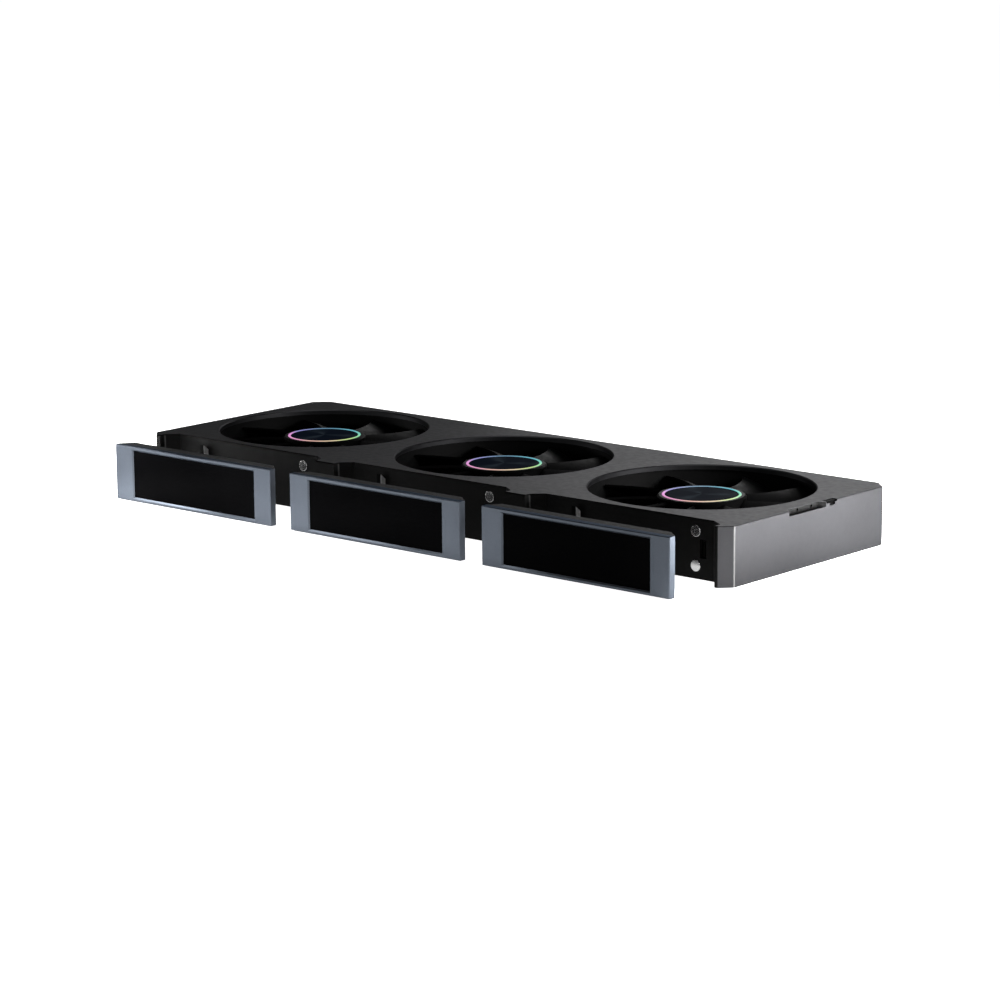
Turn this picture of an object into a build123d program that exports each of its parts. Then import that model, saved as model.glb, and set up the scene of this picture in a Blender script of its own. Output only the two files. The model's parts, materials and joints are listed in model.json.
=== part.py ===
from build123d import *
import os
from math import cos, radians, sin

# Triple fan unit of a liquid cooler, with three display modules pulled off their bays.
# Origin: axis of the middle fan, on the underside. +X runs along the row of fans,
# +Y from the display side to the back, +Z up. Millimetres.

# ---- driving dimensions ----
FAN_PITCH = 120.0
FANS = {1: -FAN_PITCH, 2: 0.0, 3: FAN_PITCH}
HOLE_SPACING = 105.0

# body outline
LEFT_X = -178.2
RIGHT_X = 184.8
FRONT_Y = -66.2
BACK_Y = 58.2
HEIGHT = 27.4
FRONT_BEVEL = 5.3
BACK_BEVEL = 6.6
EDGE = 0.4
CORNER_R = 0.8
TOP_PLATE = 2.4
SKIRT = 2.0
FRONT_LIP = 0.6
OPENING_R = 52.6
OPENING_EDGE = 0.5

# display bays in the front
BAY_SHIFT = 4.2
BAY_LEFT = 54.4
BAY_LEFT_STRAIGHT = 3.3
BAY_LEFT_SLANT = 5.3
BAY_RIGHT = 53.7
BAY_RIGHT_STRAIGHT = 4.2
BAY_RIGHT_SLANT = 6.9
BAY_DEPTH = 8.6
BAY_CORNER_R = 0.8
BAY_FLOOR_Y = FRONT_Y + BAY_DEPTH
DOCK_WALL = 1.6
CATCH_X = (-31.4, -29.1)
CATCH_REACH = 3.1
CATCH_END_GAP = 3.0
CATCH_SLOPE = 2.4
LEAF_T = 0.4
LEAF_LIFT = 0.1
CATCH_PLAY = 0.8
DOCK_MAGNET_X = 36.8
DOCK_MAGNET_DZ = 7.8
DOCK_MAGNET_R = 2.6
MAGNET_LIFT = 0.2
SOCKET_X = 40.8
SOCKET_SLOT = (3.4, 8.4)
SOCKET_BODY = (6.0, 10.2)
SOCKET_DEPTH = 6.2
SOCKET_BACK = 1.0
TONGUE = (0.7, 6.8)
TONGUE_SETBACK = 0.8

# link notch in the right edge
LINK_Y = (-21.0, 7.0)
LINK_DEPTH_X = 2.8
LINK_BAR_Y = (7.4, 15.5)
LINK_STEM_Y = (9.8, 14.0)
LINK_BAR_H = 1.1
LINK_INSET = 0.8
LINK_PIN_Y = (-11.2, -0.7)
LINK_PIN_Z = HEIGHT - 1.2
LINK_PIN_R = 0.8
LINK_PIN_L = 1.5
LINK_PIN_SETBACK = 0.6
LINK_TOP_GAP = 0.3
LINK_FLOOR = 2.5

# board behind the link notch, with two chips
CONTROL_X = (RIGHT_X - SKIRT - 2.2, RIGHT_X - SKIRT - 1.2)
CONTROL_Y = (-24.0, 20.0)
CONTROL_Z = (3.5, 22.0)
CONTROL_CHIPS = (((-15.0, -8.0), (8.0, 15.0)), ((2.0, 14.0), (10.0, 16.0)))
CHIP_T = 0.8

# fan frame and motor base
DUCT_R = 53.6
DUCT_WALL = 1.6
FRAME_TOP = HEIGHT - TOP_PLATE
FRAME_FRONT_Y = BAY_FLOOR_Y + DOCK_WALL
FRAME_BACK_Y = BACK_Y - SKIRT
FRAME_HALF = 59.8
FLANGE = 3.0
BOSS_R = 3.6
MOUNT_HOLE_R = 2.15
MOUNT_HOLE_DEPTH = 14.0
BASE_R = 20.6
STRUT_COUNT = 4
STRUT_WIDTH = 3.4
STRUT_SWEEP = 16.0
STRUT_ROOT = 2.0
POST_R = 5.6
BEARING_R = 4.2
BEARING_Z = (2.4, 14.4)
POST_TOP = 15.2
SCREW_XY = (53.5, 42.5)
SCREW_BOSS_R = 2.6
SCREW_R = 1.0
SCREW_HEAD_R = 2.3
SCREW_HEAD_Z = (0.3, 1.7)
SCREW_TIP = 12.0
SCREW_PLAY = 0.2
SCREW_CROSS = (2.4, 0.6, 0.7)

# rotor
HUB_R = 20.6
HUB_Z = (5.2, 23.7)
HUB_WALL = 1.6
POCKET_FLOOR = 22.9
RING_R = (17.1, 18.3)
RING_TOP = 24.1
MIRROR_TOP = 23.95
BLADE_COUNT = 9
BLADE_TIP_R = 52.8
BLADE_MID_Z = 13.6
BLADE_Z = (5.0, 22.5)
SHAFT_R = 1.5
SHAFT_Z = (3.4, 21.3)
SHAFT_BOSS_R = 3.4
SHAFT_BOSS_Z = 16.4
BEARING_CLEARANCE = 0.05
SHAFT_END_PLAY = 0.4
MAGNET_R = (16.4, 19.0)
MAGNET_Z = (7.2, 19.6)
STATOR_R = 15.7
STATOR_Z = (7.8, 14.0)
STATOR_POLES = 4
CORE_WALL = 2.2
POLE_WIDTH = 3.8
POLE_SHOE = 1.8
POLE_GAP = 3.2
COIL_R = (8.5, 13.4)
COIL_WIDTH = 7.2
COIL_OVERHANG = 1.4
COIL_ROUND = 1.2
BOARD_R = (6.4, 17.4)
BOARD_Z = (4.0, 5.0)
BOARD_SEAT = 1.2
LAMP_R = (14.2, 16.2)
LAMP_WIDTH = 2.0
LAMP_COUNT = 8
# blade profiles from root to tip: radius, chord, pitch, sweep, thickness, camber
BLADE_PROFILES = (
    (17.0, 23.0, 46.0, -6.0, 2.4, 1.6),
    (29.0, 27.0, 38.0, -2.0, 2.2, 2.0),
    (41.0, 31.5, 32.0, 4.0, 1.9, 2.2),
    (55.0, 37.0, 27.5, 12.0, 1.5, 2.4),
)
BLADE_ROOT = 0.8
BLADE_EDGE = 0.3
HUB_EDGE = 0.8
RING_EDGE = 0.25
MIRROR_EDGE = 0.15

# display modules
MODULE_PULL = 30.9
MODULE_FRONT = FRONT_Y - MODULE_PULL
MODULE_X = (-53.7, 53.3)
MODULE_Z = (0.2, 27.4)
MODULE_MID_Z = 13.7
BEZEL_DEPTH = 3.6
MODULE_DEPTH = 9.2
WINDOW = (83.4, 23.2)
WINDOW_SHIFT = 0.3
WINDOW_BEVEL = 0.7
GLASS = (87.2, 24.6)
GLASS_Y = (0.9, 2.0)
PANEL = (85.6, 24.0)
HOUSING_HALF = 53.0
HOUSING_STRAIGHT = 0.4
HOUSING_BACK = (-49.0, 46.9)
CAVITY_X = (-26.0, 47.0)
CAVITY_HALF_Z = 11.2
CAVITY_DEPTH = 2.6
BOARD_X = (-25.0, 45.0)
BOARD_HALF_Z = 10.4
BOARD_Y = (4.2, 5.2)
BOARD_CHIPS = ((-12.0, 4.0), (8.0, 5.0))
BOARD_CHIP_T = 0.7
BEZEL_EDGE = 0.35
MODULE_MAGNET_R = 2.5
MODULE_MAGNET_T = 1.2
PLUG = (2.8, 7.8)
PLUG_REACH = 3.4
PLUG_SLOT = (1.4, 7.2)

MID_Z = HEIGHT / 2


# ---- helpers ----
def block(x, y, z):
    """Box from three (low, high) pairs."""
    size = Box(x[1] - x[0], y[1] - y[0], z[1] - z[0], align=(Align.MIN, Align.MIN, Align.MIN))
    return Pos(x[0], y[0], z[0]) * size


def disc(x, y, z, r):
    """Upright cylinder over the (low, high) pair z."""
    low = (Align.CENTER, Align.CENTER, Align.MIN)
    return Pos(x, y, z[0]) * Cylinder(r, z[1] - z[0], align=low)


def disc_y(x, z, y, r):
    """Cylinder along Y over the (low, high) pair y."""
    low = (Align.CENTER, Align.CENTER, Align.MIN)
    return Pos(x, y[0], z) * Rot(-90, 0, 0) * Cylinder(r, y[1] - y[0], align=low)


def disc_x(y, z, x, r):
    """Cylinder along X over the (low, high) pair x."""
    low = (Align.CENTER, Align.CENTER, Align.MIN)
    return Pos(x[0], y, z) * Rot(0, 90, 0) * Cylinder(r, x[1] - x[0], align=low)


def prism(points, z):
    """Upright prism on a closed outline."""
    face = make_face(Polyline(*points, close=True))
    return Pos(0, 0, z[0]) * extrude(face, z[1] - z[0])


def side_prism(points, x):
    """Prism along X on a closed outline of (y, z) points."""
    face = Plane.YZ.offset(x[0]) * make_face(Polyline(*points, close=True))
    return extrude(face, x[1] - x[0])


def around(centre, half):
    return (centre - half, centre + half)


def save(shape, node):
    export_step(shape, "parts/" + node + ".step")


def group(shapes):
    return Compound(children=list(shapes))


# ---- outlines ----
def bay_points(centre):
    """Plan of one bay from left to right: short straight sides, slanted ends, flat floor."""
    left = centre + BAY_SHIFT - BAY_LEFT
    right = centre + BAY_SHIFT + BAY_RIGHT
    return [
        (left, FRONT_Y),
        (left, FRONT_Y + BAY_LEFT_STRAIGHT),
        (left + BAY_LEFT_SLANT, BAY_FLOOR_Y),
        (right - BAY_RIGHT_SLANT, BAY_FLOOR_Y),
        (right, FRONT_Y + BAY_RIGHT_STRAIGHT),
        (right, FRONT_Y),
    ]


def shell_outline(inset):
    """Octagonal plan of the whole body, bays ignored, moved inwards by inset."""
    k = inset * 0.586
    x0, x1 = LEFT_X + inset, RIGHT_X - inset
    y0, y1 = FRONT_Y + inset, BACK_Y - inset
    f, b = FRONT_BEVEL - k, BACK_BEVEL - k
    return [
        (x0 + f, y0), (x1 - f, y0), (x1, y0 + f), (x1, y1 - b),
        (x1 - b, y1), (x0 + b, y1), (x0, y1 - b), (x0, y0 + f),
    ]


def magnet_places(centre):
    """(x, z) of the two magnets of one bay."""
    x = centre + BAY_SHIFT + DOCK_MAGNET_X
    return [(x, MID_Z - DOCK_MAGNET_DZ), (x, MID_Z + DOCK_MAGNET_DZ)]


def mount_places(centre):
    half = HOLE_SPACING / 2
    return [(centre + sx * half, sy * half) for sx in (-1, 1) for sy in (-1, 1)]


def catch_outline(lift):
    """(y, z) outline of a bay's catch, standing lift proud of its front."""
    y = (BAY_FLOOR_Y, BAY_FLOOR_Y - CATCH_REACH - lift)
    z = (CATCH_END_GAP, HEIGHT - CATCH_END_GAP)
    return [(y[0], z[0] + CATCH_SLOPE), (y[1], z[0]), (y[1], z[1]), (y[0], z[1] - CATCH_SLOPE)]


def screw_places():
    return [
        (centre + sx * SCREW_XY[0], sy * SCREW_XY[1])
        for centre in FANS.values() for sx in (-1, 1) for sy in (-1, 1)
    ]


# ---- body ----
def bay_cut(centre):
    """Space of one bay, open to the front."""
    points = bay_points(centre)
    outline = points + [(points[-1][0], FRONT_Y - 1), (points[0][0], FRONT_Y - 1)]
    cut = prism(outline, (-1, HEIGHT + 1))
    corners = cut.edges().filter_by(Axis.Z).filter_by_position(Axis.Y, FRONT_Y + 1, BAY_FLOOR_Y - 1)
    return fillet(corners, BAY_CORNER_R)


def top_shroud():
    """Grey cover: top plate, skirt on three sides and round the corners, screw bosses."""
    shroud = prism(shell_outline(0), (0, HEIGHT))
    shroud = fillet(shroud.edges().filter_by(Axis.Z), CORNER_R)
    shroud = chamfer(shroud.edges().group_by(Axis.Z)[-1], EDGE)
    for centre in FANS.values():
        shroud -= bay_cut(centre)
    # hollow under the plate, open at the front below the lip
    front = (LEFT_X + FRONT_BEVEL, RIGHT_X - FRONT_BEVEL)
    shroud -= prism(shell_outline(SKIRT), (-1, FRAME_TOP))
    shroud -= block(front, (FRONT_Y - 1, FRAME_FRONT_Y), (-1, HEIGHT - FRONT_LIP))
    # fan openings with a small bevel
    for centre in FANS.values():
        shroud -= disc(centre, 0, (0, HEIGHT + 1), OPENING_R)
        bevel = Cone(OPENING_R, OPENING_R + 2 * OPENING_EDGE, 2 * OPENING_EDGE)
        shroud -= Pos(centre, 0, HEIGHT) * bevel
        for x, y in mount_places(centre):
            shroud -= disc(x, y, (-1, MOUNT_HOLE_DEPTH), MOUNT_HOLE_R)
    # bosses for the screws that hold the fan frames
    for x, y in screw_places():
        shroud += disc(x, y, (FLANGE, FRAME_TOP), SCREW_BOSS_R)
        shroud -= disc(x, y, (0, SCREW_TIP), SCREW_R)
    # link notch with slanted ends, its floor and its T-shaped socket
    inner = RIGHT_X - LINK_DEPTH_X
    shroud += block((inner - 1, RIGHT_X - SKIRT), (LINK_Y[0] - 1, LINK_BAR_Y[1] + 1),
                    (FRAME_TOP - LINK_FLOOR, FRAME_TOP))
    shroud -= prism([(inner, LINK_Y[0] + LINK_DEPTH_X), (RIGHT_X, LINK_Y[0]), (RIGHT_X + 1, LINK_Y[0]),
                     (RIGHT_X + 1, LINK_Y[1]), (RIGHT_X, LINK_Y[1]), (inner, LINK_Y[1] - LINK_DEPTH_X)],
                    (FRAME_TOP, HEIGHT + 1))
    shroud -= block((inner, RIGHT_X + 1), LINK_BAR_Y, (HEIGHT - LINK_BAR_H, HEIGHT + 1))
    shroud -= block((inner, RIGHT_X + 1), LINK_STEM_Y, (FRAME_TOP, HEIGHT))
    for y in LINK_PIN_Y:
        shroud -= disc_x(y, LINK_PIN_Z, (inner - LINK_PIN_L, inner + 1), LINK_PIN_R)
    return shroud


def dock_wall(centre):
    """Black front wall of one bay, with cut-outs for socket and magnets, to the middle of its posts."""
    c = centre + BAY_SHIFT
    x0 = max(c - FAN_PITCH / 2, LEFT_X + FRONT_BEVEL)
    x1 = min(c + FAN_PITCH / 2, RIGHT_X - FRONT_BEVEL)
    wall = block((x0, x1), (FRONT_Y, FRAME_FRONT_Y), (0, HEIGHT - FRONT_LIP))
    wall -= bay_cut(centre)
    for x, z in magnet_places(centre):
        wall -= disc_y(x, z, (BAY_FLOOR_Y - 1, FRAME_FRONT_Y + 1), DOCK_MAGNET_R)
    return wall - block(around(c + SOCKET_X, SOCKET_SLOT[0] / 2),
                        (BAY_FLOOR_Y - 1, FRAME_FRONT_Y + 1), around(MID_Z, SOCKET_SLOT[1] / 2))


def dock_catches():
    """Black upright catch on each bay's floor."""
    catches = []
    for centre in FANS.values():
        c = centre + BAY_SHIFT
        catches.append(side_prism(catch_outline(0), (c + CATCH_X[0], c + CATCH_X[1])))
    return group(catches)


def dock_magnets():
    return group(
        disc_y(x, z, (BAY_FLOOR_Y - MAGNET_LIFT, FRAME_FRONT_Y), DOCK_MAGNET_R)
        for centre in FANS.values() for x, z in magnet_places(centre)
    )


def catch_leaves():
    """Thin metal leaf on the right side of each bay's catch."""
    leaves = []
    for centre in FANS.values():
        x = centre + BAY_SHIFT + CATCH_X[1]
        leaves.append(side_prism(catch_outline(LEAF_LIFT), (x, x + LEAF_T)))
    return group(leaves)


def dock_socket(centre):
    """Slot housing behind the dock wall with a contact blade standing in its middle."""
    x = centre + BAY_SHIFT + SOCKET_X
    y = (FRAME_FRONT_Y, BAY_FLOOR_Y + SOCKET_DEPTH)
    inner_y = (y[0] - 1, y[1] - SOCKET_BACK)
    tongue_y = (BAY_FLOOR_Y + TONGUE_SETBACK, y[1] - SOCKET_BACK)
    socket = block(around(x, SOCKET_BODY[0] / 2), y, around(MID_Z, SOCKET_BODY[1] / 2))
    socket -= block(around(x, SOCKET_SLOT[0] / 2), inner_y, around(MID_Z, SOCKET_SLOT[1] / 2))
    return socket + block(around(x, TONGUE[0] / 2), tongue_y, around(MID_Z, TONGUE[1] / 2))


def link_socket():
    """T-shaped insert at the end of the link notch."""
    x = (RIGHT_X - LINK_DEPTH_X, RIGHT_X - LINK_INSET)
    bar = block(x, LINK_BAR_Y, (HEIGHT - LINK_BAR_H, HEIGHT - LINK_TOP_GAP))
    return bar + block(x, LINK_STEM_Y, (FRAME_TOP, HEIGHT - LINK_BAR_H))


def link_contacts():
    inner = RIGHT_X - LINK_DEPTH_X
    return group(
        disc_x(y, LINK_PIN_Z, (inner - LINK_PIN_L, inner - LINK_PIN_SETBACK), LINK_PIN_R)
        for y in LINK_PIN_Y
    )


def fan_frame(index):
    """Black frame of one fan: flange, duct, corner bosses, struts, motor base and post."""
    centre = FANS[index]
    x0 = max(centre - FRAME_HALF, LEFT_X + SKIRT)
    x1 = centre + FRAME_HALF
    rim = block((x0, x1), (FRAME_FRONT_Y, FRAME_BACK_Y), (0, FRAME_TOP))
    rim &= prism(shell_outline(SKIRT), (0, HEIGHT))
    flange = rim & block((x0, x1), (FRAME_FRONT_Y, FRAME_BACK_Y), (0, FLANGE))
    frame = flange + disc(centre, 0, (0, FRAME_TOP), DUCT_R + DUCT_WALL)
    for x, y in mount_places(centre):
        frame += rim & disc(x, y, (0, FRAME_TOP), BOSS_R)
    frame -= disc(centre, 0, (-1, HEIGHT), DUCT_R)
    for x, y in mount_places(centre):
        frame -= disc(x, y, (-1, MOUNT_HOLE_DEPTH), MOUNT_HOLE_R)
    # struts run from the motor base to the duct, swept round by a few degrees
    for i in range(STRUT_COUNT):
        angle = 45 + i * 360 / STRUT_COUNT
        a0, a1 = radians(angle - STRUT_SWEEP / 2), radians(angle + STRUT_SWEEP / 2)
        inner_r, outer_r = BASE_R - STRUT_ROOT, DUCT_R + DUCT_WALL / 2
        start = Vector(inner_r * cos(a0), inner_r * sin(a0))
        end = Vector(outer_r * cos(a1), outer_r * sin(a1))
        middle = (start + end) / 2
        turn = Vector(1, 0, 0).get_signed_angle(end - start, Vector(0, 0, 1))
        strut = Rot(0, 0, turn) * Box((end - start).length, STRUT_WIDTH, FLANGE)
        frame += Pos(centre + middle.X, middle.Y, FLANGE / 2) * strut
    frame += disc(centre, 0, (0, FLANGE), BASE_R)
    frame += disc(centre, 0, (0, POST_TOP), POST_R)
    frame += disc(centre, 0, (FLANGE, BOARD_Z[0]), BOARD_R[0] + BOARD_SEAT)
    frame -= disc(centre, 0, (BEARING_Z[0], POST_TOP + 1), BEARING_R)
    for x, y in screw_places():
        if x0 < x < x1:
            frame -= disc(x, y, (-1, SCREW_HEAD_Z[1]), SCREW_HEAD_R + SCREW_PLAY)
            frame -= disc(x, y, (0, FLANGE + 1), SCREW_R + SCREW_PLAY)
    return frame


def shroud_screws():
    """Flat-headed screws with a cross recess, one solid each."""
    screws = []
    for x, y in screw_places():
        screw = disc(x, y, SCREW_HEAD_Z, SCREW_HEAD_R)
        screw += disc(x, y, (SCREW_HEAD_Z[1], SCREW_TIP), SCREW_R)
        length, width, depth = SCREW_CROSS
        for size in ((length, width), (width, length)):
            screw -= Pos(x, y, SCREW_HEAD_Z[0]) * Box(size[0], size[1], 2 * depth)
        screws.append(screw)
    return group(screws)


def control_board():
    board = block(CONTROL_X, CONTROL_Y, CONTROL_Z)
    for y, z in CONTROL_CHIPS:
        board += block((CONTROL_X[1], CONTROL_X[1] + CHIP_T), y, z)
    return board


# ---- motor, in the body ----
def bearing(centre):
    sleeve = disc(centre, 0, BEARING_Z, BEARING_R)
    bore_z = (SHAFT_Z[0] - SHAFT_END_PLAY, BEARING_Z[1] + 1)
    return sleeve - disc(centre, 0, bore_z, SHAFT_R + BEARING_CLEARANCE)


def stator(centre):
    """Laminated core with T-shaped poles on the bearing post."""
    core = disc(centre, 0, STATOR_Z, POST_R + CORE_WALL)
    for i in range(STATOR_POLES):
        arm = block((POST_R + 1, STATOR_R - 1), around(0, POLE_WIDTH / 2), STATOR_Z)
        core += Pos(centre, 0, 0) * Rot(0, 0, i * 360 / STATOR_POLES) * arm
    rim = disc(centre, 0, STATOR_Z, STATOR_R) - disc(centre, 0, STATOR_Z, STATOR_R - POLE_SHOE)
    for i in range(STATOR_POLES):
        gap = block((POST_R, STATOR_R + 1), around(0, POLE_GAP / 2), STATOR_Z)
        rim -= Pos(centre, 0, 0) * Rot(0, 0, (i + 0.5) * 360 / STATOR_POLES) * gap
    core += rim
    return core - disc(centre, 0, (0, HEIGHT), POST_R)


def pole_coils(centre):
    """One copper coil round each pole of one fan's stator."""
    coils = []
    for i in range(STATOR_POLES):
        z = (STATOR_Z[0] - COIL_OVERHANG, STATOR_Z[1] + COIL_OVERHANG)
        coil = block(COIL_R, around(0, COIL_WIDTH / 2), z)
        coil = fillet(coil.edges().filter_by(Axis.X), COIL_ROUND)
        coil -= block((0, STATOR_R), around(0, POLE_WIDTH / 2), STATOR_Z)
        coils.append(Pos(centre, 0, 0) * Rot(0, 0, i * 360 / STATOR_POLES) * coil)
    return coils


def motor_board(centre):
    """Ring board on the motor base with light-emitting chips under the hub."""
    board = disc(centre, 0, BOARD_Z, BOARD_R[1]) - disc(centre, 0, (0, HEIGHT), BOARD_R[0])
    for i in range(LAMP_COUNT):
        lamp = block(LAMP_R, around(0, LAMP_WIDTH / 2), (BOARD_Z[1], BOARD_Z[1] + CHIP_T))
        board += Pos(centre, 0, 0) * Rot(0, 0, i * 360 / LAMP_COUNT) * lamp
    return board


# ---- rotor ----
def blade_section(radius, chord, pitch, sweep, thickness, camber):
    """Thin cambered profile on a plane across the radius."""
    t, p = radians(sweep), radians(pitch)
    tangent = Vector(-sin(t), cos(t), 0)
    along = tangent * cos(p) + Vector(0, 0, 1) * sin(p)
    plane = Plane(origin=(radius * cos(t), radius * sin(t), BLADE_MID_Z),
                  x_dir=along, z_dir=(cos(t), sin(t), 0))
    c, e = chord / 2, thickness * BLADE_EDGE
    top = ThreePointArc((-c, e), (0, camber + thickness / 2), (c, e))
    end = Line((c, e), (c, -e))
    low = ThreePointArc((c, -e), (0, camber - thickness / 2), (-c, -e))
    start = Line((-c, -e), (-c, e))
    return plane * make_face([top, end, low, start])


def rotor(centre):
    """Hub cup and swept blades, moulded as one piece."""
    blade = loft([blade_section(*profile) for profile in BLADE_PROFILES])
    blade &= disc(0, 0, BLADE_Z, BLADE_TIP_R) - disc(0, 0, BLADE_Z, HUB_R - BLADE_ROOT)
    hub = disc(0, 0, HUB_Z, HUB_R)
    hub = chamfer(hub.edges().group_by(Axis.Z)[-1], HUB_EDGE)
    hub -= disc(0, 0, (POCKET_FLOOR, HEIGHT), RING_R[1])
    hub -= disc(0, 0, (0, POCKET_FLOOR - HUB_WALL), HUB_R - HUB_WALL)
    hub += disc(0, 0, (SHAFT_BOSS_Z, POCKET_FLOOR), SHAFT_BOSS_R)
    hub -= disc(0, 0, (0, SHAFT_Z[1]), SHAFT_R)
    for i in range(BLADE_COUNT):
        hub += Rot(0, 0, i * 360 / BLADE_COUNT) * blade
    return Pos(centre, 0, 0) * hub


def shaft(centre):
    return disc(centre, 0, SHAFT_Z, SHAFT_R)


def magnet_ring(centre):
    return disc(centre, 0, MAGNET_Z, MAGNET_R[1]) - disc(centre, 0, (0, HEIGHT), MAGNET_R[0])


def light_ring(centre):
    ring = disc(centre, 0, (POCKET_FLOOR, RING_TOP), RING_R[1])
    ring -= disc(centre, 0, (0, HEIGHT), RING_R[0])
    return chamfer(ring.edges().group_by(Axis.Z)[-1], RING_EDGE)


def hub_mirror(centre):
    cap = disc(centre, 0, (POCKET_FLOOR, MIRROR_TOP), RING_R[0])
    return chamfer(cap.edges().group_by(Axis.Z)[-1], MIRROR_EDGE)


# ---- display module ----
def front_plate(size, y, centre):
    """Upright plate round the window's middle, over the pair y counted from the module's front."""
    c = centre + BAY_SHIFT + WINDOW_SHIFT
    return block(around(c, size[0] / 2), (MODULE_FRONT + y[0], MODULE_FRONT + y[1]),
                 around(MODULE_MID_Z, size[1] / 2))


def bezel(centre):
    """Metal frame with a bevelled window, and a pocket behind it for glass and panel."""
    c = centre + BAY_SHIFT
    frame = block((c + MODULE_X[0], c + MODULE_X[1]), (MODULE_FRONT, MODULE_FRONT + BEZEL_DEPTH), MODULE_Z)
    frame = chamfer(frame.edges().group_by(Axis.Y)[0], BEZEL_EDGE)
    frame -= front_plate(WINDOW, (-1, BEZEL_DEPTH + 1), centre)
    frame -= front_plate(GLASS, (GLASS_Y[0], BEZEL_DEPTH + 1), centre)
    # 45 degree bevel round the window
    grown = (WINDOW[0] + 2 * WINDOW_BEVEL, WINDOW[1] + 2 * WINDOW_BEVEL)
    middle = (c + WINDOW_SHIFT, MODULE_FRONT, MODULE_MID_Z)
    outer = Plane(origin=middle, x_dir=(1, 0, 0), z_dir=(0, -1, 0))
    inner = outer.offset(-WINDOW_BEVEL)
    frame -= loft([outer * Rectangle(*grown), inner * Rectangle(*WINDOW)], ruled=True)
    return frame


def cover_glass(centre):
    return front_plate(GLASS, GLASS_Y, centre)


def lcd_panel(centre):
    return front_plate(PANEL, (GLASS_Y[1], BEZEL_DEPTH), centre)


def rear_housing(centre):
    """Back shell: slanted ends, board cavity, channel for the bay's catch, magnet pockets."""
    c = centre + BAY_SHIFT
    y0 = MODULE_FRONT + BEZEL_DEPTH
    y1 = y0 + HOUSING_STRAIGHT
    y2 = MODULE_FRONT + MODULE_DEPTH
    plan = [(c - HOUSING_HALF, y0), (c + HOUSING_HALF, y0), (c + HOUSING_HALF, y1),
            (c + HOUSING_BACK[1], y2), (c + HOUSING_BACK[0], y2), (c - HOUSING_HALF, y1)]
    shell = prism(plan, MODULE_Z)
    shell -= block((c + CAVITY_X[0], c + CAVITY_X[1]), (y0 - 1, y0 + CAVITY_DEPTH),
                   around(MODULE_MID_Z, CAVITY_HALF_Z))
    gap = CATCH_END_GAP - CATCH_PLAY
    channel_x = (c + CATCH_X[0] - CATCH_PLAY, c + CATCH_X[1] + LEAF_T + CATCH_PLAY)
    shell -= block(channel_x, (y2 - CATCH_REACH - LEAF_LIFT, y2 + 1), (gap, HEIGHT - gap))
    for x, z in magnet_places(centre):
        shell -= disc_y(x, z, (y2 - MODULE_MAGNET_T, y2 + 1), MODULE_MAGNET_R)
    shell -= block(around(c + SOCKET_X, PLUG[0] / 2), (y0, y2 + 1), around(MID_Z, PLUG[1] / 2))
    return shell


def display_board(centre):
    c = centre + BAY_SHIFT
    y = (MODULE_FRONT + BOARD_Y[0], MODULE_FRONT + BOARD_Y[1])
    board = block((c + BOARD_X[0], c + BOARD_X[1]), y, around(MODULE_MID_Z, BOARD_HALF_Z))
    for x, half in BOARD_CHIPS:
        board += block(around(c + x, half), (y[1], y[1] + BOARD_CHIP_T), around(MODULE_MID_Z, half))
    return board


def module_magnets(centre):
    y2 = MODULE_FRONT + MODULE_DEPTH
    return group(
        disc_y(x, z, (y2 - MODULE_MAGNET_T, y2), MODULE_MAGNET_R) for x, z in magnet_places(centre)
    )


def module_plug(centre):
    """Hollow plug that enters the bay's socket and takes its contact blade."""
    x = centre + BAY_SHIFT + SOCKET_X
    y = (MODULE_FRONT + BOARD_Y[1], MODULE_FRONT + MODULE_DEPTH + PLUG_REACH)
    plug = block(around(x, PLUG[0] / 2), y, around(MID_Z, PLUG[1] / 2))
    return plug - block(around(x, PLUG_SLOT[0] / 2), (y[1] - PLUG_REACH, y[1] + 1),
                        around(MID_Z, PLUG_SLOT[1] / 2))


# ---- write every node ----
os.makedirs("parts", exist_ok=True)

save(top_shroud(), "top_shroud")
save(dock_magnets(), "dock_magnets")
save(dock_catches(), "dock_catches")
save(catch_leaves(), "catch_leaves")
save(group(dock_socket(centre) for centre in FANS.values()), "dock_sockets")
save(link_socket(), "link_socket")
save(link_contacts(), "link_contacts")
save(control_board(), "control_board")
save(shroud_screws(), "shroud_screws")
save(group(coil for centre in FANS.values() for coil in pole_coils(centre)), "windings")
save(group(motor_board(centre) for centre in FANS.values()), "motor_boards")

PER_FAN = {
    "dock_wall": dock_wall,
    "bearing": bearing,
    "stator": stator,
    "rotor": rotor,
    "shaft": shaft,
    "magnet_ring": magnet_ring,
    "light_ring": light_ring,
    "hub_mirror": hub_mirror,
    "bezel": bezel,
    "cover_glass": cover_glass,
    "lcd_panel": lcd_panel,
    "rear_housing": rear_housing,
    "display_board": display_board,
    "module_magnets": module_magnets,
    "module_plug": module_plug,
}
for index, centre in FANS.items():
    save(fan_frame(index), "fan_frame_" + str(index))
    for name, make in PER_FAN.items():
        save(make(centre), name + "_" + str(index))
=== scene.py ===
import json
from math import cos, pi, radians, sin

import bmesh
import bpy
from mathutils import Matrix, Vector


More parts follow.
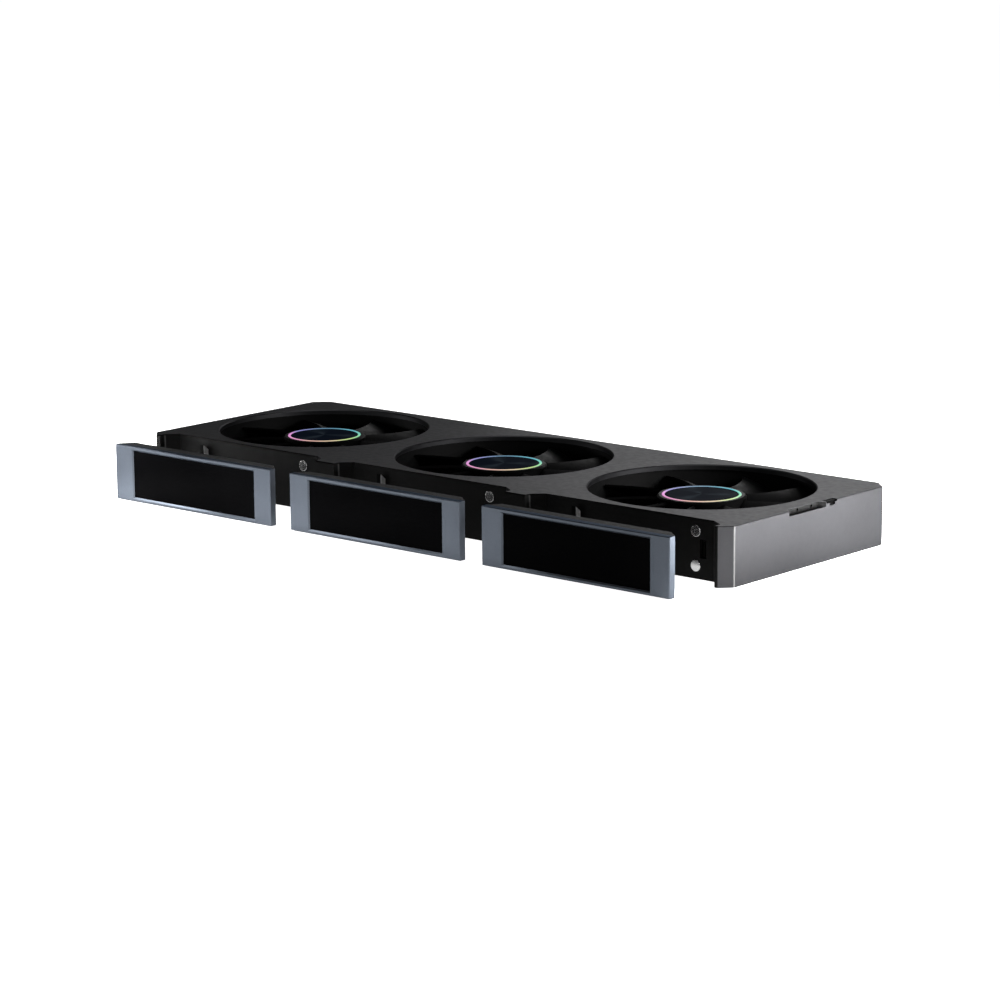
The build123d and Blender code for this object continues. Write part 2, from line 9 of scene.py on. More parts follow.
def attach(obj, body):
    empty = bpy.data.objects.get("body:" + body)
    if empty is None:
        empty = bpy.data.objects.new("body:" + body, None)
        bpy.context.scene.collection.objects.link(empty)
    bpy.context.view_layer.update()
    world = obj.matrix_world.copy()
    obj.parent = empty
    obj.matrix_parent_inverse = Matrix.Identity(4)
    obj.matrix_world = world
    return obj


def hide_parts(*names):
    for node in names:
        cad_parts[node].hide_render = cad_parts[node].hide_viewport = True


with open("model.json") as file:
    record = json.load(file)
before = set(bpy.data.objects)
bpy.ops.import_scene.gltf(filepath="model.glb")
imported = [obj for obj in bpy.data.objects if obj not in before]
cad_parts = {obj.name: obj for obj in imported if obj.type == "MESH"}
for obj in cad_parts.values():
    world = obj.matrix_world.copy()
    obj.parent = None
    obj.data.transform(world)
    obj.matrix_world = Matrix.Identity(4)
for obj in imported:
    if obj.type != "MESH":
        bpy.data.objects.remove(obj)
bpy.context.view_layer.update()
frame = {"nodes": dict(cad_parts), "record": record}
NODES = frame["nodes"]

MM = 0.001
BAYS_MIDDLE, BAYS_HALF, BAYS_BACK = 0.0033, 0.1763, -0.0572

# places of the CAD model in millimetres
FAN_X = {1: -120.0, 2: 0.0, 3: 120.0}
BAY_SHIFT = 4.2
BAY_FLOOR_Y, FRAME_FRONT_Y = -57.6, -56.0
MODULE_BACK_Y = -87.9
MIDDLE_Z = 13.7
# box of the link notch, which the shroud material darkens as painted shade
LINK_NOTCH = ((181.5, -21.6, 24.6), (184.75, 16.0, 27.3))
# upright corners that carry painted highlight lines, and the width of those lines
SHROUD_CORNERS = ((184.8, -60.9), (-178.2, -60.9))
BAY_CORNERS = tuple((x + BAY_SHIFT - 54.4, -62.9) for x in FAN_X.values())
CORNER_WIDTH = 0.45

# view of the photograph
CAMERA_AT = (1.03745, -1.19578, 0.32878)
AZIMUTH, ELEVATION, ROLL = 41.02, 11.54, -0.43
LENS = 120.36


# ---------------------------------------------------------------- materials
class Material:
    """Node material around one Principled shader, in the part's own coordinates."""

    def __init__(self, name, metallic=0.0, roughness=0.5, specular=0.5):
        self.block = bpy.data.materials.new(name)
        self.block.use_nodes = True
        self.nodes = self.block.node_tree.nodes
        self.links = self.block.node_tree.links
        self.nodes.clear()
        out = self.nodes.new("ShaderNodeOutputMaterial")
        self.shader = self.nodes.new("ShaderNodeBsdfPrincipled")
        self.links.new(self.shader.outputs[0], out.inputs["Surface"])
        self.shader.inputs["Metallic"].default_value = metallic
        self.shader.inputs["Roughness"].default_value = roughness
        self.shader.inputs["Specular IOR Level"].default_value = specular
        self.coords = self.nodes.new("ShaderNodeTexCoord").outputs["Object"]
        self.normal = None

    def value(self, name, value):
        self.shader.inputs[name].default_value = value

    def link(self, source, target):
        self.links.new(source, target)

    def place(self, stretch=(1, 1, 1), centre=(0, 0, 0)):
        node = self.nodes.new("ShaderNodeMapping")
        node.vector_type = "POINT"
        node.inputs["Scale"].default_value = stretch
        node.inputs["Location"].default_value = [-c * s for c, s in zip(centre, stretch)]
        self.link(self.coords, node.inputs["Vector"])
        return node.outputs["Vector"]

    def noise(self, size_mm, detail=2.0, stretch=(1, 1, 1)):
        node = self.nodes.new("ShaderNodeTexNoise")
        node.inputs["Scale"].default_value = 1.0 / (size_mm * MM)
        node.inputs["Detail"].default_value = detail
        self.link(self.place(stretch), node.inputs["Vector"])
        return node.outputs["Fac"]

    def cells(self, size_mm):
        node = self.nodes.new("ShaderNodeTexVoronoi")
        node.inputs["Scale"].default_value = 1.0 / (size_mm * MM)
        self.link(self.place(), node.inputs["Vector"])
        return node.outputs["Distance"]

    def bands(self, pitch_mm, direction="Z"):
        node = self.nodes.new("ShaderNodeTexWave")
        node.bands_direction = direction
        node.inputs["Scale"].default_value = 0.314 / (pitch_mm * MM)
        node.inputs["Distortion"].default_value = 0.0
        self.link(self.place(), node.inputs["Vector"])
        return node.outputs["Fac"]

    def range(self, source, low, high, start=0.0, end=1.0):
        node = self.nodes.new("ShaderNodeMapRange")
        for name, value in (("From Min", start), ("From Max", end), ("To Min", low), ("To Max", high)):
            node.inputs[name].default_value = value
        self.link(source, node.inputs["Value"])
        return node.outputs["Result"]

    def math(self, kind, a, b=None):
        node = self.nodes.new("ShaderNodeMath")
        node.operation = kind
        for socket, value in zip(node.inputs, (a, b)):
            if value is None:
                continue
            if isinstance(value, (int, float)):
                socket.default_value = value
            else:
                self.link(value, socket)
        return node.outputs[0]

    def ramp(self, source, stops, spline="LINEAR"):
        node = self.nodes.new("ShaderNodeValToRGB")
        node.color_ramp.interpolation = spline
        points = node.color_ramp.elements
        while len(points) < len(stops):
            points.new(0.5)
        for point, (at, colour) in zip(points, stops):
            point.position = at
            point.color = (*colour, 1.0)
        self.link(source, node.inputs["Fac"])
        return node.outputs["Color"]

    def colour(self, source, low, high, start=0.3, end=0.7):
        self.link(self.ramp(source, ((start, low), (end, high))), self.shader.inputs["Base Color"])

    def roughness(self, source, low, high, start=0.3, end=0.7):
        self.link(self.range(source, low, high, start, end), self.shader.inputs["Roughness"])

    def bump(self, source, depth_mm, strength=1.0):
        node = self.nodes.new("ShaderNodeBump")
        node.inputs["Strength"].default_value = strength
        node.inputs["Distance"].default_value = depth_mm * MM
        self.link(source, node.inputs["Height"])
        if self.normal:
            self.link(self.normal, node.inputs["Normal"])
        self.normal = node.outputs["Normal"]
        self.link(self.normal, self.shader.inputs["Normal"])

    def edges(self, width_mm):
        """0 on flat faces and 1 on sharp corners."""
        rounded = self.nodes.new("ShaderNodeBevel")
        rounded.samples = 4
        rounded.inputs["Radius"].default_value = width_mm * MM
        geometry = self.nodes.new("ShaderNodeNewGeometry")
        node = self.nodes.new("ShaderNodeVectorMath")
        node.operation = "DOT_PRODUCT"
        self.link(rounded.outputs["Normal"], node.inputs[0])
        self.link(geometry.outputs["Normal"], node.inputs[1])
        return self.range(node.outputs["Value"], 1.0, 0.0, 0.8, 0.98)

    def uprights(self, places, width_mm):
        """1 within a width of upright lines at (x, y) places, 0 elsewhere."""
        found = None
        for x, y in places:
            node = self.nodes.new("ShaderNodeVectorMath")
            node.operation = "LENGTH"
            self.link(self.place((1, 1, 0), (x * MM, y * MM, 0)), node.inputs[0])
            near = self.math("LESS_THAN", node.outputs["Value"], width_mm * MM)
            found = self.math("MAXIMUM", found, near) if found else near
        return found

    def between(self, low, high):
        """1 inside an upright box between two corners in millimetres."""
        split = self.nodes.new("ShaderNodeSeparateXYZ")
        self.link(self.coords, split.inputs[0])
        inside = None
        for axis, lo, hi in zip("XYZ", low, high):
            middle, half = (lo + hi) / 2 * MM, (hi - lo) / 2 * MM
            offset = self.math("ABSOLUTE", self.math("SUBTRACT", split.outputs[axis], middle))
            near = self.math("LESS_THAN", offset, half)
            inside = self.math("MULTIPLY", inside, near) if inside else near
        return inside

    def blend(self, factor, a, b, kind="MIX"):
        """Colour a, or a with b over it by factor. Either may be a socket or a colour."""
        node = self.nodes.new("ShaderNodeMix")
        node.data_type = "RGBA"
        node.blend_type = kind
        for source, name in ((factor, "Factor"), (a, "A"), (b, "B")):
            target = node.inputs[name]
            if isinstance(source, (int, float)):
                target.default_value = source
            elif isinstance(source, tuple):
                target.default_value = (*source, 1.0)
            else:
                self.link(source, target)
        return node.outputs["Result"]

    def angle(self, centre_x_mm):
        """Angle round a fan's axis, 0 to 1 from +X by +Y."""
        split = self.nodes.new("ShaderNodeSeparateXYZ")
        self.link(self.place(centre=(centre_x_mm * MM, 0, 0)), split.inputs[0])
        turn = self.math("ARCTAN2", split.outputs["Y"], split.outputs["X"])
        return self.math("FRACT", self.math("ADD", self.math("DIVIDE", turn, 2 * pi), 1.0))


def grey(value, tint=(1.0, 1.0, 1.0)):
    return tuple(value * t for t in tint)



def bay_recess_shade(m):
    """1 on the upright faces of the bays, which get painted shade that makes them near-black, and 0 on
    the rest of the shroud.
    """
    place, facing = m.nodes.new("ShaderNodeSeparateXYZ"), m.nodes.new("ShaderNodeSeparateXYZ")
    m.link(m.coords, place.inputs[0])
    m.link(m.nodes.new("ShaderNodeTexCoord").outputs["Normal"], facing.inputs[0])
    offset = m.math("ABSOLUTE", m.math("SUBTRACT", place.outputs["X"], BAYS_MIDDLE))
    inside = m.math("LESS_THAN", offset, BAYS_HALF)
    front = m.math("LESS_THAN", place.outputs["Y"], BAYS_BACK)
    upright = m.math("LESS_THAN", facing.outputs["Z"], 0.9)
    return m.math("MULTIPLY", m.math("MULTIPLY", inside, front), upright)


def anodised(name, low, high, rough, grain_mm=0.35, depth_mm=0.006, grazing=0.5, shade_mask=None):
    """Bead-blasted and anodised aluminium: fine grain, soft clouds, and a painted highlight along the
    edges.
    """
    m = Material(name, metallic=1.0)
    m.value("Specular Tint", (grazing, grazing, grazing, 1))
    grain = m.noise(grain_mm, 2.0)
    clouds = m.ramp(m.noise(38.0, 3.0), ((0.3, low), (0.7, high)))
    speckled = m.blend(1.0, clouds, m.ramp(grain, ((0.3, grey(0.86)), (0.7, grey(1.0)))), "MULTIPLY")
    # painted highlight: edges made paler than the faces
    pale = tuple(min(1.0, 1.5 * c) for c in high)
    tone_with_painted_light = m.blend(m.edges(0.25), speckled, pale)
    if shade_mask:
        # painted shade: the upright faces in the bay recesses darkened to near-black
        tone_with_painted_light = m.blend(shade_mask(m), tone_with_painted_light, grey(0.004))
        # painted shade: the link notch darkened
        tone_with_painted_light = m.blend(m.between(*LINK_NOTCH), tone_with_painted_light, grey(0.010))
        # painted highlight: pale lines along the shroud's upright outer corners
        tone_with_painted_light = m.blend(m.uprights(SHROUD_CORNERS, CORNER_WIDTH), tone_with_painted_light, grey(0.085))
    m.link(tone_with_painted_light, m.shader.inputs["Base Color"])
    m.roughness(m.noise(3.0, 4.0), rough - 0.03, rough + 0.04)
    m.bump(grain, depth_mm)
    return m


def moulded(name, low, high, rough, grain_mm=0.3, depth_mm=0.012, specular=0.4, rim=None):
    """Moulded plastic with a fine spark-eroded texture, and painted highlight lines on upright corners
    if rim is given.
    """
    m = Material(name, roughness=rough, specular=specular)
    shade = m.ramp(m.noise(24.0, 3.0), ((0.3, low), (0.7, high)))
    if rim:
        # painted highlight: pale lines on the upright corners of the bays
        shade = m.blend(m.uprights(BAY_CORNERS, CORNER_WIDTH), shade, rim)
    m.link(shade, m.shader.inputs["Base Color"])
    grain = m.noise(grain_mm, 3.0)
    m.roughness(m.noise(2.2, 4.0), rough - 0.05, rough + 0.07)
    m.bump(grain, depth_mm)
    m.bump(m.noise(9.0, 2.0), depth_mm * 1.5, 0.35)
    return m


def turned(name, low, high, rough, pitch_mm=0.18, direction="Z"):
    """Turned or ground metal with fine parallel marks."""
    m = Material(name, metallic=1.0)
    marks = m.bands(pitch_mm, direction)
    m.colour(m.noise(1.2, 3.0), low, high)
    m.roughness(marks, rough - 0.05, rough + 0.06, 0.0, 1.0)
    m.bump(marks, 0.004)
    return m


# the shroud gets painted shade in the bay recesses and the link notch, and painted highlight lines on
# its upright corners
shroud_metal = anodised("shroud_metal", grey(0.025, (1, 1, 1.06)), grey(0.029, (1, 1, 1.06)), 0.42,
                        grazing=0.47, shade_mask=bay_recess_shade)
bezel_metal = anodised("bezel_metal", (0.053, 0.060, 0.072), (0.060, 0.068, 0.081), 0.38,
                       grain_mm=0.25, depth_mm=0.004, grazing=0.3)
# rim: colour of the painted highlight lines at the bay corners
frame_plastic = moulded("frame_plastic", grey(0.0010), grey(0.0016, (1, 1, 1.05)), 0.5, specular=0.04,
                        rim=grey(0.022))
catch_plastic = moulded("catch_plastic", grey(0.0004), grey(0.0007), 0.5, specular=0.01)
housing_plastic = moulded("housing_plastic", grey(0.010), grey(0.014, (1, 1, 1.06)), 0.5, specular=0.004)
socket_plastic = moulded("socket_plastic", grey(0.0010), grey(0.0018), 0.5, 0.2, 0.006, specular=0.003)
link_steel = turned("link_steel", grey(0.015), grey(0.03), 0.4, 0.2)
core_steel = turned("core_steel", grey(0.21), grey(0.28), 0.4, 0.5)
shaft_steel = turned("shaft_steel", grey(0.5), grey(0.6), 0.22, 0.12)
bearing_brass = turned("bearing_brass", (0.42, 0.27, 0.10), (0.52, 0.35, 0.15), 0.42, 0.3)
contact_gold = turned("contact_gold", (0.30, 0.22, 0.09), (0.38, 0.28, 0.12), 0.34, 0.2)
copper_wire = turned("copper_wire", (0.50, 0.17, 0.07), (0.62, 0.24, 0.10), 0.32, 0.35)


def make_screw_steel():
    m = Material("screw_steel", metallic=1.0)
    m.colour(m.noise(0.8, 4.0), grey(0.05), grey(0.11))
    m.roughness(m.noise(0.5, 3.0), 0.3, 0.48)
    m.bump(m.noise(0.25, 2.0), 0.004)
    return m


def make_magnet_nickel():
    m = Material("magnet_nickel", metallic=1.0)
    m.colour(m.noise(1.6, 4.0), grey(0.36), grey(0.43))
    m.roughness(m.noise(0.9, 5.0, (1, 1, 6)), 0.18, 0.28)
    m.bump(m.noise(0.35, 3.0), 0.005)
    return m


def make_blade_plastic():
    m = Material("blade_plastic", specular=0.012)
    m.colour(m.noise(11.0, 4.0), grey(0.0004), grey(0.0007, (1, 1, 1.08)))
    m.roughness(m.noise(4.0, 4.0, (1, 1, 3)), 0.42, 0.55)
    m.bump(m.noise(0.25, 2.0), 0.006)
    m.bump(m.noise(6.0, 2.0), 0.02, 0.3)
    return m


def make_board():
    """Dark solder mask with pale track edges."""
    m = Material("board", roughness=0.35, specular=0.5)
    tracks = m.cells(2.4)
    m.link(m.ramp(tracks, ((0.0, (0.008, 0.032, 0.022)), (0.42, (0.011, 0.045, 0.030)),
                           (0.46, (0.030, 0.085, 0.060)), (0.5, (0.011, 0.042, 0.028)))),
           m.shader.inputs["Base Color"])
    m.roughness(m.noise(1.5, 3.0), 0.3, 0.45)
    m.bump(tracks, 0.03, 0.5)
    return m


def make_cover_glass():
    m = Material("cover_glass")
    m.value("IOR", 1.025)
    m.colour(m.noise(30.0, 2.0), (0.0006, 0.0006, 0.0007), (0.0009, 0.0009, 0.0010))
    m.roughness(m.noise(6.0, 3.0), 0.06, 0.11)
    m.bump(m.noise(14.0, 1.0), 0.003, 0.3)
    return m


def make_panel():
    """Switched-off display: a very fine grid of dark cells."""
    m = Material("panel", specular=0.3)
    m.link(m.ramp(m.bands(0.3, "X"), ((0.0, grey(0.003)), (1.0, grey(0.007, (1, 1, 1.3))))),
           m.shader.inputs["Base Color"])
    m.roughness(m.bands(0.3, "Z"), 0.2, 0.35, 0.0, 1.0)
    return m


RING_COLOURS = (
    (0.000, (0.19, 0.66, 0.50)),
    (0.110, (0.12, 0.50, 0.62)),
    (0.250, (0.10, 0.26, 0.40)),
    (0.390, (0.25, 0.24, 0.62)),
    (0.480, (0.80, 0.30, 0.74)),
    (0.600, (0.86, 0.34, 0.62)),
    (0.700, (0.86, 0.50, 0.42)),
    (0.780, (0.86, 0.66, 0.42)),
    (0.870, (0.55, 0.76, 0.24)),
    (0.950, (0.26, 0.74, 0.34)),
    (1.000, (0.19, 0.66, 0.50)),
)
RING_TURN = 41.0 / 360.0


def make_light_ring(centre_x_mm):
    """Lit diffuser whose colour runs round the fan's axis."""
    m = Material("light_ring", roughness=0.35, specular=0.003)
    turn = m.math("FRACT", m.math("ADD", m.angle(centre_x_mm), 1.0 - RING_TURN))
    colour = m.ramp(turn, RING_COLOURS, "EASE")
    m.link(colour, m.shader.inputs["Emission Color"])
    m.colour(m.noise(0.6, 3.0), grey(0.05), grey(0.07))
    m.value("Emission Strength", 0.85)
    m.roughness(m.noise(0.5, 2.0), 0.3, 0.42)
    m.bump(m.noise(0.4, 2.0), 0.004)
    return m


def make_hub_mirror(centre_x_mm):
    """Smoked cap with a painted glow of very dark blue, and painted reflection streaks that fan out from
    its middle.
    """
    m = Material("hub_mirror", specular=0.5)
    m.value("IOR", 1.006)
    turn = m.angle(centre_x_mm)
    wave = m.math("MULTIPLY_ADD", m.math("SINE", m.math("MULTIPLY", turn, 2 * pi * 3)), 0.5)
    m.nodes[-1].inputs[2].default_value = 0.5
    ragged = m.math("MULTIPLY", wave, m.range(m.noise(7.0, 3.0), 0.75, 1.1, 0.3, 0.7))
    streak = m.math("POWER", ragged, 5.0)
    # painted glow: dark blue, paler along the painted reflection streaks
    m.link(m.ramp(streak, ((0.0, (0.0030, 0.0058, 0.0125)), (1.0, (0.020, 0.028, 0.038)))),
           m.shader.inputs["Emission Color"])
    m.value("Emission Strength", 0.6)
    m.colour(m.noise(3.0, 3.0), grey(0.0012), grey(0.0020))
    m.roughness(m.noise(2.0, 4.0), 0.1, 0.18)
    m.bump(m.noise(10.0, 1.0), 0.003, 0.3)
    return m


MATERIALS = {
    "shroud_metal": shroud_metal, "frame_plastic": frame_plastic, "housing_plastic": housing_plastic,
    "socket_plastic": socket_plastic, "core_steel": core_steel, "shaft_steel": shaft_steel,
    "bearing_brass": bearing_brass, "contact_gold": contact_gold, "copper_wire": copper_wire,
    "screw_steel": make_screw_steel(), "magnet_nickel": make_magnet_nickel(),
    "blade_plastic": make_blade_plastic(), "board": make_board(), "bezel_metal": bezel_metal,
    "cover_glass": make_cover_glass(), "panel": make_panel(),
}
PER_FAN = {
    (slot, i): make(x)
    for i, x in FAN_X.items()
    for slot, make in (("light_ring", make_light_ring), ("hub_mirror", make_hub_mirror))
}


def material_for(slot, node=""):
    if node == "dock_catches":
        return catch_plastic.block
    if node == "link_contacts":
        return link_steel.block
    if slot in MATERIALS:
        return MATERIALS[slot].block
    return PER_FAN[slot, int(node[-1])].block


for row in frame["record"]["subparts"]:
    data = NODES[row["node"]].data
    data.materials.clear()
    data.materials.append(material_for(row["material_slot"], row["node"]))


# ---------------------------------------------------------------- finer pieces
# discs of the bays and of the modules, from the middle of a bay
DISC_X, DISC_DZ = 36.8, 7.8
DOCK_DISC_R, DOCK_DISC_LIFT = 2.6, 0.2
MODULE_DISC_R, MODULE_DISC_DEPTH = 2.5, 1.2
DISC_EDGE, DISC_STEPS = 0.2, 64
# steel strips on the right of the catches
LEAF_X, LEAF_REACH = (-29.1, -28.8), 2.95
LEAF_ROOT_Z, LEAF_TIP_Z = (5.5, 21.9), (3.15, 24.25)
# contacts in the bay sockets
SOCKET_X, PINS, PIN_PITCH = 40.8, 4, 1.6
PIN_SIDES, PIN_HALF, PIN_DEPTH, PIN_EDGE = (0.35, 0.45), 0.5, (2.2, 5.0), 0.03
# lit rings and hub caps
HUB_FLOOR_Z, HUB_STEPS = 22.9, 192
RING_R, RING_HALF, RING_Z, RING_CROWN, RING_ARC_STEPS = 17.7, 0.6, 23.72, 0.3, 12
CAP_SIDE_R, CAP_SIDE_Z = 17.05, 23.65
CAP_R, CAP_Z, CAP_DOME, CAP_RINGS = 16.9, 23.80, 0.03, 12
# glass of the modules
GLASS_SHIFT, GLASS_HALF, GLASS_EDGE = 0.3, 43.6, 0.15
GLASS_Y, GLASS_Z = (-96.2, -95.1), (1.4, 26.0)


def piece(name, bm, body, slot, replaced=(), material=None):
    """Turn a bmesh in millimetres into a piece that rides a body."""
    bmesh.ops.scale(bm, vec=(MM, MM, MM), verts=bm.verts)
    bmesh.ops.recalc_face_normals(bm, faces=bm.faces)
    data = bpy.data.meshes.new(name)
    bm.to_mesh(data)
    bm.free()
    made = bpy.data.objects.new(name, data)
    bpy.context.scene.collection.objects.link(made)
    data.materials.append(material if material else material_for(slot, name))
    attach(made, body)
    if replaced:
        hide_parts(*replaced)
    return made


def lathe(bm, profile, place, axis="Z", steps=96):
    """Turn (radius, height) points about an axis through place. Ends on the axis close the shape."""
    rings = []
    for radius, height in profile:
        ring = []
        for i in range(steps if radius > 1e-6 else 1):
            a = 2 * pi * i / steps
            flat = (radius * cos(a), radius * sin(a))
            local = (flat[0], flat[1], height) if axis == "Z" else (flat[0], height, flat[1])
            ring.append(bm.verts.new([p + c for p, c in zip(place, local)]))
        rings.append(ring)
    for low, high in zip(rings, rings[1:]):
        for i in range(steps):
            j = (i + 1) % steps
            corners = [low[i % len(low)], low[j % len(low)], high[j % len(high)], high[i % len(high)]]
            face = bm.faces.new(list(dict.fromkeys(corners)))
            face.smooth = True


def arc(centre, radius, start, end, steps=6):
    """Points on a quarter or half round, angles in degrees."""
    turn = [radians(start + (end - start) * i / steps) for i in range(steps + 1)]
    return [(centre[0] + radius * cos(a), centre[1] + radius * sin(a)) for a in turn]


def rounded_box(bm, x, y, z, edge):
    """Box from (low, high) pairs with softened edges."""
    made = bmesh.ops.create_cube(bm, size=1.0)["verts"]
    for v in made:
        v.co = [lo + (c + 0.5) * (hi - lo) for c, (lo, hi) in zip(v.co, (x, y, z))]
    sides = {e for v in made for e in v.link_edges}
    bmesh.ops.bevel(bm, geom=list(sides), offset=edge, segments=3, profile=0.5, affect="EDGES")


def upright_strip(bm, outline, x):
    """Prism between two x, from (y, z) points."""
    ends = [[bm.verts.new((at, y, z)) for y, z in outline] for at in x]
    bm.faces.new(ends[0])
    bm.faces.new(ends[1][::-1])
    for i in range(len(outline)):
        j = (i + 1) % len(outline)
        bm.faces.new((ends[0][i], ends[1][i], ends[1][j], ends[0][j]))


def make_leaf_steel():
    """Satin strip steel of the catch leaves."""
    m = Material("leaf_steel", specular=0.5)
    m.colour(m.noise(1.0, 3.0, (1, 1, 0.2)), grey(0.10), grey(0.15))
    m.roughness(m.noise(0.6, 3.0, (1, 1, 0.1)), 0.4, 0.5)
    m.bump(m.noise(0.3, 2.0, (1, 1, 0.1)), 0.004)
    return m


LEAF_STEEL = make_leaf_steel().block


def magnet(bm, x, z, back, front, radius):
    """Disc magnet with a rolled rim on its visible end, its axis along Y."""
    step = 1 if front > back else -1
    corner = (radius - DISC_EDGE, abs(front - back) - DISC_EDGE)
    rim = [(r, step * h) for r, h in arc(corner, DISC_EDGE, 0, 90)]
    lathe(bm, [(0, 0), (radius, 0), *rim, (0, front - back)], (x, back, z), "Y", DISC_STEPS)


def magnet_places(fan_x):
    return [(fan_x + BAY_SHIFT + DISC_X, MIDDLE_Z + dz) for dz in (-DISC_DZ, DISC_DZ)]


def make_bay_pieces():
    magnets, leaves, pins = bmesh.new(), bmesh.new(), bmesh.new()
    for fan_x in FAN_X.values():
        c = fan_x + BAY_SHIFT
        for x, z in magnet_places(fan_x):
            magnet(magnets, x, z, FRAME_FRONT_Y, BAY_FLOOR_Y - DOCK_DISC_LIFT, DOCK_DISC_R)
        root, tip = BAY_FLOOR_Y, BAY_FLOOR_Y - LEAF_REACH
        outline = [(root, LEAF_ROOT_Z[0]), (tip, LEAF_TIP_Z[0]),
                   (tip, LEAF_TIP_Z[1]), (root, LEAF_ROOT_Z[1])]
        upright_strip(leaves, outline, [c + x for x in LEAF_X])
        depth = [BAY_FLOOR_Y + y for y in PIN_DEPTH]
        for side in (-1, 1):
            across = sorted(c + SOCKET_X + side * x for x in PIN_SIDES)
            for k in range(PINS):
                z = MIDDLE_Z + PIN_PITCH * (k - (PINS - 1) / 2)
                rounded_box(pins, across, depth, (z - PIN_HALF, z + PIN_HALF), PIN_EDGE)
    piece("dock_magnet_discs", magnets, "body", "magnet_nickel", ["dock_magnets"])
    piece("catch_leaf_strips", leaves, "body", "magnet_nickel", ["catch_leaves"], LEAF_STEEL)
    piece("socket_pins", pins, "body", "contact_gold")


def make_fan_pieces(i, fan_x):
    body = f"fan_rotor_{i}"
    ring = bmesh.new()
    crown = arc((RING_R, 0.0), RING_HALF, 0, 180, RING_ARC_STEPS)
    bead = [(r, RING_Z + RING_CROWN * (h / RING_HALF)) for r, h in crown]
    outer, inner = (RING_R + RING_HALF, HUB_FLOOR_Z), (RING_R - RING_HALF, HUB_FLOOR_Z)
    lathe(ring, [outer, *bead, inner, outer], (fan_x, 0, 0), "Z", HUB_STEPS)
    piece(f"light_ring_bead_{i}", ring, body, "light_ring", [f"light_ring_{i}"],
          PER_FAN["light_ring", i].block)
    cap = bmesh.new()
    steps = [k / CAP_RINGS for k in range(CAP_RINGS, -1, -1)]
    dome = [(CAP_R * k, CAP_Z - CAP_DOME * k ** 2) for k in steps]
    side = [(0, HUB_FLOOR_Z), (CAP_SIDE_R, HUB_FLOOR_Z), (CAP_SIDE_R, CAP_SIDE_Z)]
    lathe(cap, [*side, *dome], (fan_x, 0, 0), "Z", HUB_STEPS)
    piece(f"hub_cap_{i}", cap, body, "hub_mirror", [f"hub_mirror_{i}"], PER_FAN["hub_mirror", i].block)


def make_module_pieces(i, fan_x):
    body = f"display_module_{i}"
    magnets = bmesh.new()
    for x, z in magnet_places(fan_x):
        magnet(magnets, x, z, MODULE_BACK_Y - MODULE_DISC_DEPTH, MODULE_BACK_Y, MODULE_DISC_R)
    piece(f"module_magnet_discs_{i}", magnets, body, "magnet_nickel", [f"module_magnets_{i}"])
    glass = bmesh.new()
    c = fan_x + BAY_SHIFT + GLASS_SHIFT
    rounded_box(glass, (c - GLASS_HALF, c + GLASS_HALF), GLASS_Y, GLASS_Z, GLASS_EDGE)
    piece(f"cover_glass_pane_{i}", glass, body, "cover_glass", [f"cover_glass_{i}"])


make_bay_pieces()
for index, x in FAN_X.items():
    make_fan_pieces(index, x)
    make_module_pieces(index, x)


# ---------------------------------------------------------------- stage
# name, place, aim, size in metres and power in watts of each soft light
SOFTBOXES = (
    ("right", (0.36, 0.1, 0.12), (0.36, 0.1001, 0.0), 0.12, 7.9),
    ("right_back", (0.4, 0.35, 0.12), (0.4, 0.3501, 0.0), 0.12, 5.7),
    ("right_front", (0.36, -0.2, 0.12), (0.36, -0.2001, 0.0), 0.12, 0.12),
    ("right_low", (0.24, 0.04, 0.05), (0.24, 0.0401, 0.0), 0.06, 0.18),
    ("corner_low", (0.24, -0.05, 0.05), (0.24, -0.0501, 0.0), 0.06, 0.10),
    ("bezel_1_left", (-0.17, -0.13, 0.04), (-0.17, -0.1301, 0.0), 0.05, 0.22),
    ("bezel_1_right", (-0.09, -0.13, 0.04), (-0.09, -0.1301, 0.0), 0.05, 0.086),
    ("bezel_2_left", (-0.04, -0.13, 0.04), (-0.04, -0.1301, 0.0), 0.05, 0.081),
    ("bezel_2_right", (0.04, -0.13, 0.04), (0.04, -0.1301, 0.0), 0.05, 0.043),
    ("module_side", (0.23, -0.1, 0.05), (0.23, -0.1001, 0.0), 0.05, 0.12),
    ("left_low", (-0.35, -0.1, 0.05), (-0.35, -0.1001, 0.0), 0.1, 2.9),
    ("back", (0.0, 0.3, 0.12), (0.0, 0.3001, 0.0), 0.12, 0.19),
    ("back_middle", (-0.05, 0.35, 0.12), (0.1, 0.0, 0.0), 0.15, 0.046),
    ("back_low", (-0.21, 0.364, 0.14), (0.0, 0.0, 0.0), 0.18, 0.05),
    ("back_left", (-0.4, 0.75, 0.3), (0.1, 0.0, 0.0), 0.3, 0.47),
    ("back_left_far", (-0.75, 1.299, 0.9), (0.0, 0.0, 0.0), 0.8, 7.9),
    ("left_far", (-1.299, 0.75, 0.9), (0.0, 0.0, 0.0), 0.8, 2.2),
    ("overhead", (0.0, 0.0, 1.2), (0.0, 0.001, 0.0), 1.0, 6.0),
)
WORLD = 0.02
FLOOR_SIZE, FLOOR_Z, FLOOR_GLOW = 30.0, -0.0003, 1.0
# middle and half size of the floor that the body covers, which doesn't glow
COVERED_X, COVERED_Y = (0.0033, 0.178), (-0.0015, 0.0535)


